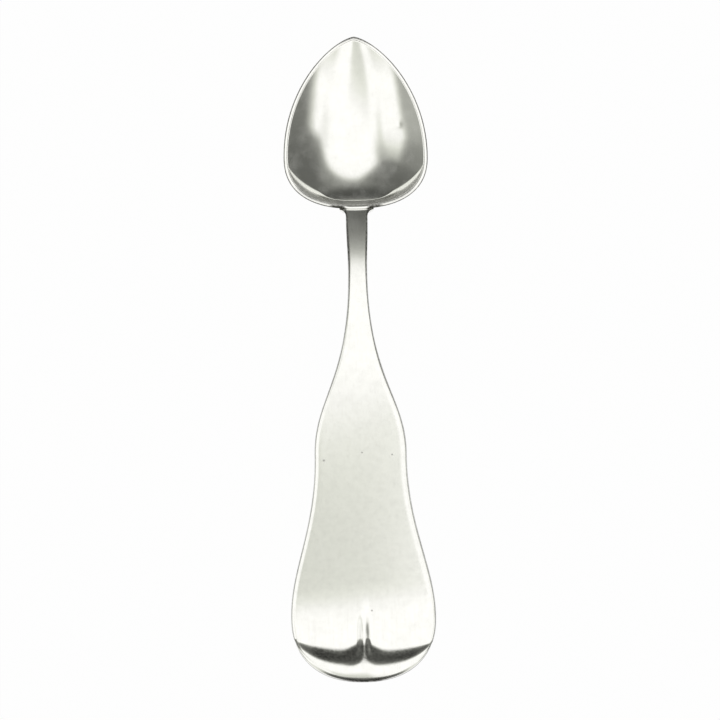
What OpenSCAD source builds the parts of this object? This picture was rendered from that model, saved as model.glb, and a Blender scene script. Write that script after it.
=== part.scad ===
// Serving spoon in silver: a sunk bowl, soldered onto the tongue of a forged handle.
// The spoon lies bowl up on the plane z = 0, with the bowl's tip towards +Y.

/* [Bowl] */
// Length of the bowl from its tip to its heel
bowl_length = 56; // [50:0.5:62]
// Width of the bowl at its widest line
bowl_width = 46.8; // [42:0.2:52]
// Distance from the heel to the widest line
bowl_shoulder = 17; // [15:0.5:20]
// Distance from the heel to the deepest point
bowl_deepest = 24; // [21:0.5:27]
// Height of the rim above the table at the heel
heel_height = 10.6; // [9.6:0.1:12]
// Height of the rim above the table at the tip
tip_height = 8.2; // [7.4:0.1:9.4]
// Thickness of the metal at the bottom of the bowl
bowl_wall = 1; // [0.7:0.05:1.5]
// Width of the flat edge along the rim
rim_width = 1.2; // [0.8:0.05:1.6]
// Roundness of the tip, from 1 for a sharp point to 2 for an ellipse
tip_curve = 1.45; // [1.3:0.05:1.8]
// Squareness of the heel, from 2 for an ellipse upwards
heel_curve = 2.4; // [2:0.05:2.8]
// Steepness of the wall, from 0 for a parabola to 0.5 for a flat-bottomed dish
wall_steepness = 0.05; // [0:0.05:0.3]
// Width of the steep band below the rim at the heel
heel_band = 3.2; // [2:0.1:4.5]
// Height that the steep band adds to the wall
heel_band_rise = 1.55; // [1:0.05:2.4]

/* [Handle] */
// Length of the handle from the bowl's heel to its end
handle_length = 154; // [140:1:170]
// Width of the stem where it meets the bowl
root_width = 7; // [6:0.1:8.4]
// Radius of the shoulders that spread the stem against the bowl
root_fillet = 2; // [1:0.1:3]
// Width of the stem at its narrowest
stem_width = 6.1; // [5:0.1:8]
// Distance from the heel to the narrowest place of the stem
stem_from_heel = 20; // [14:0.5:28]
// Width of the blade at its upper shoulder
shoulder_width = 29.8; // [24:0.2:36]
// Distance from the heel to the upper shoulder
shoulder_from_heel = 80; // [74:0.5:88]
// Extra width of the rounded end over the bowl that it balances
end_extra = 0.5; // [-3:0.1:5]
// Distance from the end to the widest line of the rounded end
end_lobe = 21; // [17:0.5:26]
// Squareness of the rounded end, from 2 for an ellipse upwards
end_curve = 2.3; // [2:0.05:2.8]

/* [Thickness] */
// Thickness of the stem where it meets the bowl
root_thickness = 3.2; // [2.6:0.1:4]
// Thickness of the stem at its narrowest
stem_thickness = 2.6; // [2:0.1:3.4]
// Thickness of the blade
blade_thickness = 1.5; // [1.2:0.05:2]
// Rounding of the handle's edges
edge_radius = 0.4; // [0.2:0.05:0.55]
// Width of the band along each edge where the face rolls off
edge_roll_width = 2.4; // [1.5:0.1:3]
// Depth of that roll-off at the edge
edge_roll = 0.55; // [0.2:0.05:0.6]
// Share of the half width that the roll-off may take along the narrow stem
edge_roll_share = 0.35; // [0.2:0.05:0.6]

/* [Side profile] */
// Slope of the stem right at the bowl's rim, in degrees
root_start = 8; // [4:1:16]
// Length over which the stem turns up from there to its full slope
root_ease = 1.6; // [1:0.1:2.4]
// Slope of the stem where it rises from the bowl, in degrees
root_slope = 30; // [24:1:34]
// Height of the arch above the table
arch_height = 24; // [21:0.1:27]
// Distance from the heel to the top of the arch
arch_from_heel = 44; // [38:0.5:50]
// Slope of the blade where it comes down to the table, in degrees
blade_slope = 16; // [12:0.5:19]
// Length over which the blade levels out above its resting line
levelling_length = 10; // [7:0.5:14]
// Distance from the end to that resting line
rest_from_end = 18.5; // [16:0.5:22]
// Radius, seen from above, of the line that the blade is bent about
blade_crown = 200; // [120:5:400]

/* [Tip] */
// Length of the raised tip, from its foot to the end
tip_length = 13.5; // [10:0.5:16]
// Height by which the end is turned up off the table
tip_lift = 2.3; // [1.2:0.1:3]
// Extra thickness of the tip at its crest
tip_swell = 1.7; // [0.8:0.1:2.2]
// Length by which the tip's foot runs further up beside the rib
tip_point = 3; // [0.5:0.1:4]
// Width of that point of the foot
tip_point_width = 14; // [10:0.5:20]
// Share by which the crest moves up towards the rib
tip_lean = 0.35; // [0:0.05:0.45]

/* [Midrib] */
// Length of the rib that runs up the blade from the raised tip
midrib_length = 28; // [20:0.5:34]
// Width of the rib at its foot
midrib_width = 5; // [4:0.1:7]
// Height of the rib at its crest
midrib_height = 0.9; // [0.5:0.05:1.2]
// Distance from the end at which the rib dies out
midrib_from_end = 4; // [3:0.5:7]

/* [Drop] */
// Length of the tongue that carries the back of the bowl
drop_length = 12; // [9:0.5:14]
// Thickness of the tongue at its edges
drop_thickness = 0.8; // [0.6:0.05:1.2]
// Squareness of the tongue's end, from 2 for an ellipse upwards
drop_curve = 2; // [1.8:0.1:2.6]
// Length of stem over which its section squares up from the tongue's
root_blend = 9; // [6:0.5:14]

/* [Solder] */
// Distance from the bowl to its seat on the tongue
solder_gap = 0.2; // [0.15:0.01:0.3]
// Clearance on each face of the solder
solder_clearance = 0.03; // [0.02:0.005:0.05]

/* [Hidden] */

silver = "#dcdccf";
solder_grey = "#b9b8ac";

spoon_length = bowl_length + handle_length;
heel_y = spoon_length / 2 - bowl_length;
widest_y = heel_y + bowl_shoulder;
deepest_shift = bowl_deepest - bowl_shoulder;
mean_height = (heel_height + tip_height) / 2;

end_width = bowl_width + end_extra;
lobe_from_heel = handle_length - end_lobe;

// Places along the side profile, and heights there of the handle's face.
tip_from_heel = handle_length - tip_length;
rest_from_heel = handle_length - rest_from_end;
level_from_heel = rest_from_heel - levelling_length;
level_height = blade_thickness + levelling_length * tan(blade_slope) / 2;
ease_height = heel_height + root_ease * (tan(root_start) + tan(root_slope)) / 2;

// Facets of the bowl: round the rim, and from its middle to the rim.
bowl_sides = 72;
bowl_rings = 13;

// Facets of the handle: along each stretch, and from the middle line to one edge.
drop_rows = 12;
fillet_rows = 4;
stem_rows = 10;
flare_rows = 17;
blade_rows = 14;
end_rows = 15;
half_columns = 6;
midrib_columns = 2;

function smooth(t) = let (c = min(max(t, 0), 1)) c * c * (3 - 2 * c);
function mix(a, b, t) = a + (b - a) * t;
function unit(v) = v / norm(v);
function sum_power(t, e) = pow(max(0, t), 2 / e);

// A cubic from (x0, z0) with slope m0 to (x1, z1) with slope m1.
function cubic(x, x0, z0, m0, x1, z1, m1) =
    let (h = x1 - x0, t = (x - x0) / h)
    (2 * t * t * t - 3 * t * t + 1) * z0 + (t * t * t - 2 * t * t + t) * h * m0
    + (3 * t * t - 2 * t * t * t) * z1 + (t * t * t - t * t) * h * m1;

// A point of a cubic Bezier curve.
function bezier(p, t) =
    let (s = 1 - t)
    s * s * s * p[0] + 3 * s * s * t * p[1] + 3 * s * t * t * p[2] + t * t * t * p[3];

// Two triangles for each quad of a grid, without those that a folded row closes up.
function quad(a, b, c, d) =
    [for (f = [[a, b, c], [a, c, d]]) if (f[0] != f[1] && f[1] != f[2] && f[2] != f[0]) f];
function flatten(lists) = [for (list = lists) each list];

// Bowl surfaces
// Each surface is a family of rings, from u = 0 at the deepest point to u = 1 at the rim.
// The rings are ellipses near the middle and take the rim's own outline as they grow.

function tip_reach(inset) = bowl_length - bowl_shoulder - inset;
function heel_reach(inset) = bowl_shoulder - inset;
function half_width(inset) = bowl_width / 2 - inset;
function ring_reach(u, reach, inset) =
    let (mean = (tip_reach(inset) + heel_reach(inset)) / 2)
    mean * u + (reach - mean) * u * u;
function ring_centre(u) = deepest_shift * (1 - u * u);
function tip_power(u) = 2 + (tip_curve - 2) * u * u;
function heel_power(u) = 2 + (heel_curve - 2) * u * u;

// Height of the rim at a distance y from the widest line.
function rim_height(y) =
    mix(heel_height, tip_height, (y + bowl_shoulder) / bowl_length);

// Height of the ring u below a place of the rim. The wall turns up into the steep band quickly,
// and the band narrows from the heel, where heel is 1, to the widest line, where it is 0.
band_turn = 0.2;
band_fade = 0.75;
function band_share(u, fade) =
    let (t = max(0, 1 - (1 - u) * bowl_deepest / (heel_band * max(fade, 0.001))))
    t * t * (1 + band_turn) / (t + band_turn);
function ring_height(u, rim, bottom, heel) =
    let (fade = smooth(heel / band_fade), band = heel_band_rise * fade)
    bottom + (mean_height - bottom) * u * u * mix(1, u * u, wall_steepness)
    + (rim - band - mean_height) * pow(u, 4) + band * band_share(u, fade);

// A point of the surface, from the ring u and the direction a, with 90 towards the tip.
function bowl_point(u, a, inset, bottom) =
    let (
        c = cos(a),
        s = sin(a),
        tip = s >= 0,
        reach = tip ? tip_reach(inset) : heel_reach(inset),
        power = tip ? tip_power(u) : heel_power(u),
        x = sign(c) * u * half_width(inset) * sum_power(abs(c), power),
        along = tip ? s : -sum_power(-s, power),
        y = ring_centre(u) + ring_reach(u, reach, inset) * along,
        rim_y = reach * (tip ? s : -sum_power(-s, heel_curve))
    )
    [x, widest_y + y, ring_height(u, rim_height(rim_y), bottom, max(0, -s))];

// The same surface near the heel, from the ring u and the distance x off the middle line.
function heel_point(u, x) =
    let (c = pow(abs(x) / (u * half_width(0)), heel_power(u) / 2))
    let (point = bowl_point(u, 270 + acos(sqrt(1 - c * c)), 0, 0))
    [x, point[1], point[2]];

// The outward direction there, from small steps along and across.
seat_step = 0.02;
function heel_normal(u, x) =
    unit(cross(
        heel_point(u, x + 1) - heel_point(u, x - 1),
        heel_point(u + seat_step, x) - heel_point(u - seat_step, x)
    ));

module bowl() {
    // The rim's edge is eased by a quarter of its width on each side.
    ease = rim_width / 4;
    angles = [for (i = [0 : bowl_sides - 1]) 360 * i / bowl_sides];
    function lowered(p, dz) = [p[0], p[1], p[2] - dz];
    rings = concat(
        [for (i = [1 : bowl_rings - 1]) [for (a = angles) bowl_point(i / bowl_rings, a, 0, 0)]],
        [[for (a = angles) lowered(bowl_point(1, a, 0, 0), ease)]],
        [[for (a = angles) bowl_point(1, a, ease, 0)]],
        [[for (a = angles) bowl_point(1, a, rim_width - ease, bowl_wall)]],
        [[for (a = angles) lowered(bowl_point(1, a, rim_width, bowl_wall), ease)]],
        [for (i = [bowl_rings - 1 : -1 : 1])
            [for (a = angles) bowl_point(i / bowl_rings, a, rim_width, bowl_wall)]]
    );
    count = len(rings);
    bottom_pole = count * bowl_sides;
    floor_pole = bottom_pole + 1;
    function at(r, i) = r * bowl_sides + i % bowl_sides;
    walls = flatten([for (r = [0 : count - 2], i = [0 : bowl_sides - 1])
        quad(at(r, i), at(r + 1, i), at(r + 1, i + 1), at(r, i + 1))]);
    bottom = [for (i = [0 : bowl_sides - 1]) [bottom_pole, at(0, i), at(0, i + 1)]];
    floor = [for (i = [0 : bowl_sides - 1]) [floor_pole, at(count - 1, i + 1), at(count - 1, i)]];
    poles = [bowl_point(0, 0, 0, 0), bowl_point(0, 0, rim_width, bowl_wall)];
    color(silver)
        polyhedron(concat(flatten(rings), poles), concat(walls, bottom, floor), convexity = 4);
}

// Handle surfaces
// The handle is one strip. A place on it is (x, d): x off the middle line, and d along it from
// the bowl's heel, with the tongue under the bowl at d < 0 and the stem and blade at d > 0.

// Height of the face along the middle line.
function path_height(d) =
    d < root_ease ?
        cubic(d, 0, heel_height, tan(root_start), root_ease, ease_height, tan(root_slope))
    : d < arch_from_heel ?
        cubic(d, root_ease, ease_height, tan(root_slope), arch_from_heel, arch_height, 0)
    : d < level_from_heel ?
        cubic(d, arch_from_heel, arch_height, 0, level_from_heel, level_height, -tan(blade_slope))
    : d < rest_from_heel ?
        cubic(d, level_from_heel, level_height, -tan(blade_slope), rest_from_heel, blade_thickness, 0)
    : blade_thickness;

// The raised tip at x: its length against that on the middle line, and the share of the way from
// its foot to the end. With point 1 the foot runs up to a point beside the rib, and the share is
// drawn towards it there.
function arc(q, curve) = pow(1 - pow(min(1, q), curve), 1 / curve);
function tip_place(x, d, point) =
    let (
        reach = lobe_from_heel + end_lobe * arc(2 * abs(x) / end_width, end_curve),
        centre = point * (1 - smooth(2 * abs(x) / tip_point_width)),
        foot = tip_from_heel - tip_point * centre,
        length = max(reach - foot, 0.001),
        share = min(1, max(0, (d - foot) / length))
    )
    [length / tip_length, pow(share, 1 - tip_lean * centre)];

// The end is turned up as a whole, and its face swells to a crest and falls off to the edge.
// The factor 27 / 4 makes the swell's own curve 1 high at its crest.
function upturn(x, d) =
    let (place = tip_place(x, d, 0))
    tip_lift * place[0] * smooth(place[1]);
function swell(x, d) =
    let (place = tip_place(x, d, 1), share = place[1])
    tip_swell * place[0] * share * share * (1 - share) * 27 / 4;

function thickness(d) =
    d < 0 ? mix(root_thickness, drop_thickness, smooth(-d / drop_length))
    : d < stem_from_heel ? mix(root_thickness, stem_thickness, smooth(d / stem_from_heel))
    : mix(stem_thickness, blade_thickness,
        smooth((d - stem_from_heel) / (shoulder_from_heel - stem_from_heel)));

// The tongue's back is crowned: its edges thin out, and the stem takes over within root_blend.
function local_thickness(x, d, half) =
    let (crown = 1 - smooth(d / root_blend), share = half > 0 ? x / half : 1)
    mix(thickness(d), min(drop_thickness, thickness(d)), crown * share * share);

// The face without rib or rolled edges: the seat under the bowl, then stem and blade.
function seat_point(d, x, gap) =
    let (u = 1 + d / bowl_deepest)
    heel_point(u, x) + gap * heel_normal(u, x);
function heel_sag(x) =
    seat_point(0, min(abs(x), root_width / 2 + root_fillet), solder_gap)[1]
    - seat_point(0, 0, solder_gap)[1];
function face_point(x, d) =
    d < 0 ? seat_point(d, x, solder_gap)
    : let (fade = 1 - smooth(d / stem_from_heel), seat = seat_point(0, 0, solder_gap))
    [x, mix(heel_y, seat[1] + heel_sag(x), fade) - d,
        path_height(d + x * x / (2 * blade_crown)) + upturn(x, d) - fade * (heel_height - seat[2])];

// The direction out of the face, from steps long enough to carry the full thickness round a bend.
function face_normal(x, d) =
    let (h = 1.5 * thickness(d))
    unit(cross(
        face_point(x + 0.5, d) - face_point(x - 0.5, d),
        face_point(x, d - h) - face_point(x, d + h)
    ));

// The rib: a raised wave across, which swells up to its crest and dies out before the end.
midrib_crest = 0.66;
function midrib(x, d) =
    let (
        along = (d - (handle_length - midrib_from_end - midrib_length)) / midrib_length,
        growth = pow(smooth(along / midrib_crest), 2),
        fall = 1 - smooth((along - midrib_crest) / (1 - midrib_crest)),
        across = min(1, 2 * abs(x) / midrib_width)
    )
    midrib_height * growth * fall * (1 + cos(180 * across)) / 2;

// The face rolls off along its edges, from the root up to the first third of the raised tip.
// The row is half wide, and out is the share of its edge's direction that is across.
function roll(distance, half, out, d) =
    let (
        width = min(edge_roll_width, edge_roll_share * half),
        fade = smooth(d / root_blend) * (1 - smooth(3 * (d - tip_from_heel) / tip_length))
    )
    width <= 0 ? 0
    : edge_roll * width / edge_roll_width * out * fade * pow(max(0, 1 - distance / width), 3);

// Outline of one half of the strip, as [half width, d], from the tongue's end to the handle's.
tongue_outline = [for (i = [0 : drop_rows - 1])
    let (a = 90 - 90 * i / drop_rows)
    [(root_width / 2 + root_fillet) * sum_power(cos(a), drop_curve),
        -drop_length * sum_power(sin(a), drop_curve)]];
fillet_outline = [for (i = [0 : fillet_rows])
    let (a = 90 * i / fillet_rows)
    [root_width / 2 + root_fillet * (1 - sin(a)), root_fillet * (1 - cos(a))]];
stem_outline = [for (i = [1 : stem_rows])
    let (t = i / stem_rows)
    [mix(root_width, stem_width, smooth(t)) / 2, mix(root_fillet, stem_from_heel, t)]];
flare_curve = [
    [stem_width / 2, stem_from_heel],
    [stem_width / 2, mix(stem_from_heel, shoulder_from_heel, 0.6)],
    [shoulder_width / 2, mix(stem_from_heel, shoulder_from_heel, 0.68)],
    [shoulder_width / 2, shoulder_from_heel]
];
blade_curve = [
    [shoulder_width / 2, shoulder_from_heel],
    [shoulder_width / 2, mix(shoulder_from_heel, lobe_from_heel, 0.45)],
    [end_width / 2, mix(shoulder_from_heel, lobe_from_heel, 0.7)],
    [end_width / 2, lobe_from_heel]
];
flare_outline = [for (i = [1 : flare_rows]) bezier(flare_curve, i / flare_rows)];
blade_outline = [for (i = [1 : blade_rows]) bezier(blade_curve, i / blade_rows)];
end_outline = [for (i = [1 : end_rows])
    let (a = 90 * i / end_rows)
    [end_width / 2 * sum_power(cos(a), end_curve),
        lobe_from_heel + end_lobe * sum_power(sin(a), end_curve)]];
outline = concat(tongue_outline, fillet_outline, stem_outline, flare_outline,
    blade_outline, end_outline);
last_row = len(outline) - 1;

// Direction out of the outline at a row, as [x, d], with the far half beyond each folded end.
function mirrored(p) = [-p[0], p[1]];
function row_normal(i) =
    let (
        before = i == 0 ? mirrored(outline[1]) : outline[i - 1],
        after = i == last_row ? mirrored(outline[last_row - 1]) : outline[i + 1],
        along = unit(after - before)
    )
    [along[1], -along[0]];

// Distances of the columns off the middle line: those of the rib, then on to the edge.
column_shares = [0.4, 0.7, 0.88, 1];
function column(k, inner) =
    let (foot = min(midrib_width / 2, inner * midrib_columns / half_columns))
    k <= midrib_columns ? foot * k / midrib_columns
    : mix(foot, inner, column_shares[k - midrib_columns - 1]);

// One ring round the strip: the face, the right edge, the back, and the left edge.
function ring(i) =
    let (
        place = outline[i],
        out = row_normal(i),
        wall = local_thickness(place[0], place[1], place[0]) - roll(0, place[0], out[0], place[1]),
        r = min(edge_radius, 0.45 * wall),
        inner = max(0, place[0] - r * out[0]),
        d = place[1] - r * out[1],
        face = [for (k = [-half_columns : half_columns])
            let (
                x = sign(k) * column(abs(k), inner),
                lift = midrib(x, d) + swell(x, d) - roll(place[0] - abs(x), place[0], out[0], d)
            )
            face_point(x, d) + lift * face_normal(x, d)],
        back = [for (k = [half_columns : -1 : -half_columns])
            let (x = sign(k) * column(abs(k), inner))
            face_point(x, d) - local_thickness(x, d, place[0]) * face_normal(x, d)],
        right = edge(place, out, r, 1),
        left = edge(place, out, r, -1)
    )
    concat(face, right, back, [for (k = [3 : -1 : 0]) left[k]]);

// Four points down an edge: an eased corner, the wall, and the other eased corner.
function edge(place, out, r, side) =
    let (
        soft = r * (1 - sin(45)),
        thick = local_thickness(place[0], place[1], place[0]),
        drop = roll(0, place[0], out[0], place[1]),
        crest = swell(place[0] - soft * out[0], place[1] - soft * out[1])
    )
    [for (step = [[soft, drop + soft - crest], [0, drop + r], [0, thick - r], [soft, thick - soft]])
        let (x = side * max(0, place[0] - step[0] * out[0]), d = place[1] - step[0] * out[1])
        face_point(x, d) - step[1] * face_normal(x, d)];

// A strip of rings, each with columns points on its face, sides points down each edge and
// columns points on its back. Its first ring is folded flat onto the middle line, and its last
// ring is either folded too or left open and capped.
function folded(ring, columns, sides) =
    concat([ring[0]], [for (k = [0 : 1 : sides - 1]) ring[columns + k]],
        [ring[columns + sides]]);
function folded_place(j, columns, sides) =
    j < columns ? 0
    : j < columns + sides ? j - columns + 1
    : j < 2 * columns + sides ? sides + 1
    : 2 * (columns + sides) - j;

module strip(rings, columns, sides, fold_last) {
    around = len(rings[0]);
    last = len(rings) - 1;
    first_count = sides + 2;
    function at(i, j) =
        i == 0 ? folded_place(j % around, columns, sides)
        : first_count + (i - 1) * around
            + (i == last && fold_last ? folded_place(j % around, columns, sides) : j % around);
    points = concat(
        folded(rings[0], columns, sides),
        flatten([for (i = [1 : last - 1]) rings[i]]),
        fold_last ? folded(rings[last], columns, sides) : rings[last]
    );
    faces = flatten([for (i = [0 : last - 1], j = [0 : around - 1])
        quad(at(i, j), at(i, j + 1), at(i + 1, j + 1), at(i + 1, j))]);
    cap = fold_last ? [] : flatten([for (j = [0 : columns - 2])
        quad(at(last, j), at(last, j + 1), at(last, around - 2 - j), at(last, around - 1 - j))]);
    polyhedron(points, concat(faces, cap), convexity = 6);
}

module handle() {
    color(silver) strip([for (i = [0 : last_row]) ring(i)], 2 * half_columns + 1, 4, true);
}

// The solder fills the joint between the bowl's heel and the tongue, up to the rim.
module solder_seam() {
    columns = 2 * half_columns + 1;
    outer_gap = solder_gap - solder_clearance;
    function sheet_row(place, gap) =
        [for (k = [-half_columns : half_columns])
            seat_point(place[1], place[0] * k / half_columns, gap)];
    rings = [for (i = [0 : drop_rows])
        let (
            face = sheet_row(outline[i], solder_clearance),
            back = sheet_row(outline[i], outer_gap)
        )
        concat(face, [for (k = [columns - 1 : -1 : 0]) back[k]])];
    color(solder_grey) strip(rings, columns, 0, false);
}

bowl();
handle();
solder_seam();
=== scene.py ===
"""Serving spoon in polished silver: a sunk bowl, soldered onto the tongue of a forged handle.

The spoon lies bowl up on the plane z = 0, with the bowl's tip towards +Y. Lengths are in metres.
"""

import logging
import math
from dataclasses import dataclass
from enum import Enum
from typing import Union

import bpy
import numpy as np
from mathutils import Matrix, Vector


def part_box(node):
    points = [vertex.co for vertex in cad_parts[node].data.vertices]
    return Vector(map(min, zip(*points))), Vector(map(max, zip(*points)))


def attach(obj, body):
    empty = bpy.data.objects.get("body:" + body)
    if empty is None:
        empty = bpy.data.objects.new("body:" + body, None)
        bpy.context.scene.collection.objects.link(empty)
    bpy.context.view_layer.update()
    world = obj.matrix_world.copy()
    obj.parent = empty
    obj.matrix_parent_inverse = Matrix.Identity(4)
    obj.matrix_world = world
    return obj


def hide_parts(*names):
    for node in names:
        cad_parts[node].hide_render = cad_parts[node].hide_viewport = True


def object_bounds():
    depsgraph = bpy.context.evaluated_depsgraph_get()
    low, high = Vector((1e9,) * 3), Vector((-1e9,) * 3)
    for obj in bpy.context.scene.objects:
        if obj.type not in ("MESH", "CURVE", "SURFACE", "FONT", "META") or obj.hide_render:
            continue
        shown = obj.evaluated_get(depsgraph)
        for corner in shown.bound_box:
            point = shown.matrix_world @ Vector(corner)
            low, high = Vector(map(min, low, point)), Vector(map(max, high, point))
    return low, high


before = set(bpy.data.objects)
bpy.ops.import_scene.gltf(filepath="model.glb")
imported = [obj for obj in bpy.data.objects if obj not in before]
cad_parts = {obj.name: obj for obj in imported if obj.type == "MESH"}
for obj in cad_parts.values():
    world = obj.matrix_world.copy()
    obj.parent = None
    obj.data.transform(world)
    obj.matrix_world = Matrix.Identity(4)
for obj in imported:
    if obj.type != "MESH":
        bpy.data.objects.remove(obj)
CAD_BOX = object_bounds()
LOG = logging.getLogger("spoon")

BODY = "root"
MERGE_DISTANCE = 1e-6
# Vertex attribute of painted shade: dark outlines, corners and bands painted on the silver where it would
# reflect shade.
PAINTED_SHADE = "painted_shade"
MATTE = "matte"
SWELL_PEAK = 4 / 27


def mm(value: float) -> float:
    """A length in metres from one in millimetres."""
    return value / 1000


def smooth(t: np.ndarray) -> np.ndarray:
    """An eased step: 0 up to t = 0, then up to 1 at t = 1."""
    c = np.clip(t, 0, 1)
    return c * c * (3 - 2 * c)


def ramp(value: np.ndarray, start: np.ndarray, end: np.ndarray) -> np.ndarray:
    """An eased step from 0 at start to 1 at end, where end may be the lower of the two."""
    return smooth((value - start) / (end - start))


def mix(a: np.ndarray, b: np.ndarray, t: np.ndarray) -> np.ndarray:
    """The value at t on the way from a to b."""
    return a + (b - a) * t


def unit(vectors: np.ndarray) -> np.ndarray:
    """Rows of vectors, each made one long."""
    return vectors / np.linalg.norm(vectors, axis=1, keepdims=True)


def hermite(x: np.ndarray, start: tuple, end: tuple) -> np.ndarray:
    """A cubic between two knots.

    Args:
        x: Places along the curve.
        start: The first knot, as place, height and slope.
        end: The second knot, in the same way.

    Returns:
        The heights at x.
    """
    (x0, z0, m0), (x1, z1, m1) = start, end
    h = x1 - x0
    t = np.clip((x - x0) / h, 0, 1)
    left = (2 * t**3 - 3 * t**2 + 1) * z0 + (t**3 - 2 * t**2 + t) * h * m0
    return left + (3 * t**2 - 2 * t**3) * z1 + (t**3 - t**2) * h * m1


def bezier(points: np.ndarray, t: np.ndarray) -> np.ndarray:
    """A cubic Bezier curve.

    Args:
        points: Its four points, as rows.
        t: Shares of the way along it.

    Returns:
        The places at t, as rows.
    """
    t = t[:, None]
    s = 1 - t
    return s**3 * points[0] + 3 * s**2 * t * points[1] + 3 * s * t**2 * points[2] + t**3 * points[3]


class Sheet(Enum):
    """The two skins of a piece of plate."""

    FACE = "face"
    BACK = "back"


@dataclass(frozen=True)
class BowlForm:
    """The surface that the bowl is sunk to: rings from u = 0 at the deepest point to u = 1 at the rim."""

    length: float
    width: float
    heel_y: float
    shoulder: float = mm(17)
    deepest: float = mm(24)
    heel_height: float = mm(10.6)
    tip_height: float = mm(8.2)
    wall: float = mm(1)
    rim_width: float = mm(1.2)
    tip_curve: float = 1.45
    heel_curve: float = 2.4
    wall_steepness: float = 0.05
    heel_band: float = mm(1.9)
    heel_band_rise: float = mm(1.4)
    band_turn: float = 0.2
    side_turn: float = 1
    side_band: float = 1.75
    band_fade: float = 0.75
    centre: tuple = (0.8, 0.96)
    side_limit: float = 0.999
    probe_across: float = mm(1)
    probe_along: float = 0.02

    @classmethod
    def from_node(cls, node: str) -> "BowlForm":
        """The form whose plan fills a CAD node's box."""
        low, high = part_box(node)
        return cls(length=high.y - low.y, width=high.x - low.x, heel_y=low.y)

    def surface(self, u: np.ndarray, c: np.ndarray, s: np.ndarray, inset: np.ndarray,
                bottom: np.ndarray) -> np.ndarray:
        """Points of the outer or the inner surface.

        Args:
            u: Shares of the way from the deepest point to the rim.
            c: Cosines of the directions round the bowl, with the tip at 90 degrees.
            s: Sines of those directions.
            inset: Distances in from the outline, 0 for the outer surface.
            bottom: Heights of the deepest point.

        Returns:
            The points, as rows.
        """
        tip = s >= 0
        tip_reach = self.length - self.shoulder - inset
        heel_reach = self.shoulder - inset
        reach = np.where(tip, tip_reach, heel_reach)
        middle = (tip_reach + heel_reach) / 2
        power = 2 + (np.where(tip, self.tip_curve, self.heel_curve) - 2) * u * u
        x = np.sign(c) * u * (self.width / 2 - inset) * np.abs(c) ** (2 / power)
        along = np.where(tip, s, -np.abs(s) ** (2 / power))
        y = (self.deepest - self.shoulder) * (1 - u * u)
        y = y + (middle * u + (reach - middle) * u * u) * along
        rim_y = reach * np.where(tip, s, -np.abs(s) ** (2 / self.heel_curve))
        rim = mix(self.heel_height, self.tip_height, (rim_y + self.shoulder) / self.length)
        return np.stack([x, self.heel_y + self.shoulder + y, self.ring_height(u, rim, bottom, s)], axis=1)

    def ring_height(self, u: np.ndarray, rim: np.ndarray, bottom: np.ndarray, s: np.ndarray) -> np.ndarray:
        """Heights of a ring, with the steep band under the heel's rim.

        Args:
            u: Shares of the way from the deepest point to the rim.
            rim: Heights of the rim in those directions.
            bottom: Heights of the deepest point.
            s: Sines of the directions round the bowl.

        Returns:
            The heights.
        """
        mean = (self.heel_height + self.tip_height) / 2
        fade, centre, t = self.band_place(u, s)
        band = self.heel_band_rise * fade
        turn = mix(self.side_turn, self.band_turn, centre)
        share = t * t * (1 + turn) / (t + turn)
        dish = (mean - bottom) * u * u * mix(1, u * u, self.wall_steepness)
        return bottom + dish + (rim - band - mean) * u**4 + band * share

    def band_place(self, u: np.ndarray, s: np.ndarray) -> tuple:
        """Places on the band under the heel's rim.

        Args:
            u: Shares of the way from the deepest point to the rim.
            s: Sines of the directions round the bowl.

        Returns:
            The band's strength, how near to the middle line it is, and shares of its width.
        """
        fade = smooth(-s / self.band_fade)
        centre = ramp(-s, *self.centre)
        width = self.heel_band * mix(self.side_band, 1, centre) * np.maximum(fade, MERGE_DISTANCE)
        return fade, centre, np.maximum(0, 1 - (1 - u) * self.deepest / width)

    def heel_point(self, u: np.ndarray, x: np.ndarray) -> np.ndarray:
        """Points of the outer surface at the heel.

        Args:
            u: Shares of the way from the deepest point to the rim.
            x: Distances off the middle line.

        Returns:
            The points, as rows.
        """
        power = 2 + (self.heel_curve - 2) * u * u
        c = np.minimum(np.abs(x) / (u * self.width / 2), self.side_limit) ** (power / 2)
        points = self.surface(u, c, -np.sqrt(1 - c * c), 0 * u, 0 * u)
        points[:, 0] = x
        return points

    def heel_normal(self, u: np.ndarray, x: np.ndarray) -> np.ndarray:
        """Directions out of the bowl at the heel, from small steps along and across.

        Args:
            u: Shares of the way from the deepest point to the rim.
            x: Distances off the middle line.

        Returns:
            The directions, as rows.
        """
        across = self.heel_point(u, x + self.probe_across) - self.heel_point(u, x - self.probe_across)
        along = self.heel_point(u + self.probe_along, x) - self.heel_point(u - self.probe_along, x)
        return unit(np.cross(across, along))

    def seat(self, d: np.ndarray, x: np.ndarray, gap: np.ndarray) -> np.ndarray:
        """Points at a gap outside the bowl, from the distance d < 0 below the heel's rim."""
        u = 1 + d / self.deepest
        return self.heel_point(u, x) + np.reshape(gap, (-1, 1)) * self.heel_normal(u, x)


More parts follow.
